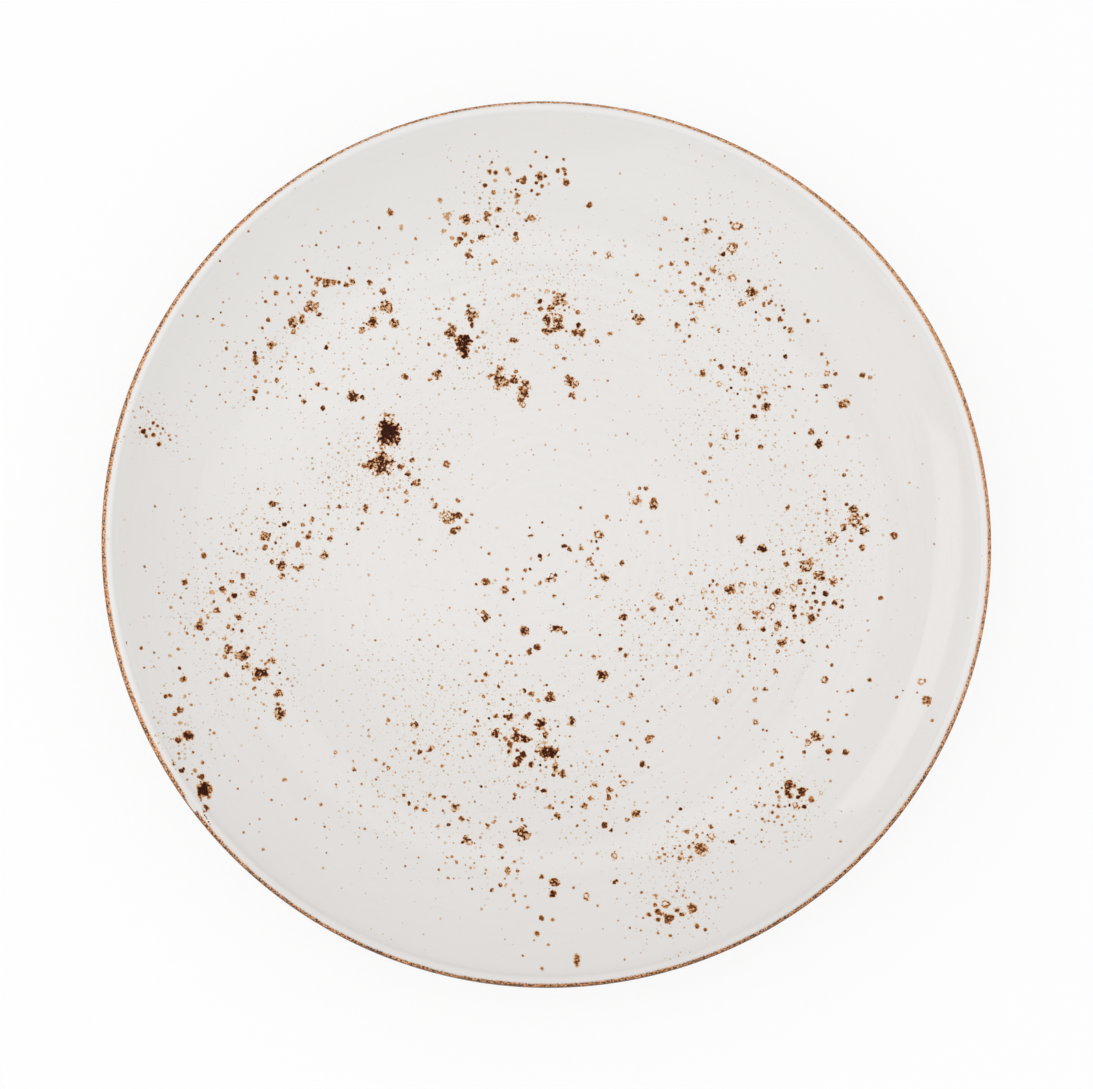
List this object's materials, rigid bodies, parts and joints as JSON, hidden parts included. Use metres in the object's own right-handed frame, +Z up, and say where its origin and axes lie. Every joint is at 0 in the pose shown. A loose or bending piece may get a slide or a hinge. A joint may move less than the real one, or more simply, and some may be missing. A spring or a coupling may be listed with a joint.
{
  "type": "coupe dinner plate",
  "caption": "Round rimless dinner plate with a flat well, a curved wall, a rolled lip with a brown band, and a foot ring.",
  "frame": {"origin": "centre of the foot ring's ground face, on the table", "axes": "+Z up along the plate's axis, +Y away from the viewer, +X to the viewer's right"},
  "size_m": [0.28, 0.28, 0.024],
  "materials": {
    "clay": "matte",
    "white_glaze": "gloss",
    "iron_spot": "gloss",
    "brown_band": "satin"
  },
  "bodies": {
    "root": {"ceramic_body": "clay", "top_glaze": "white_glaze", "iron_flecks": "iron_spot", "rim_band": "brown_band", "underside_glaze": "white_glaze", "foot_well_glaze": "white_glaze"}
  },
  "joints": []
}
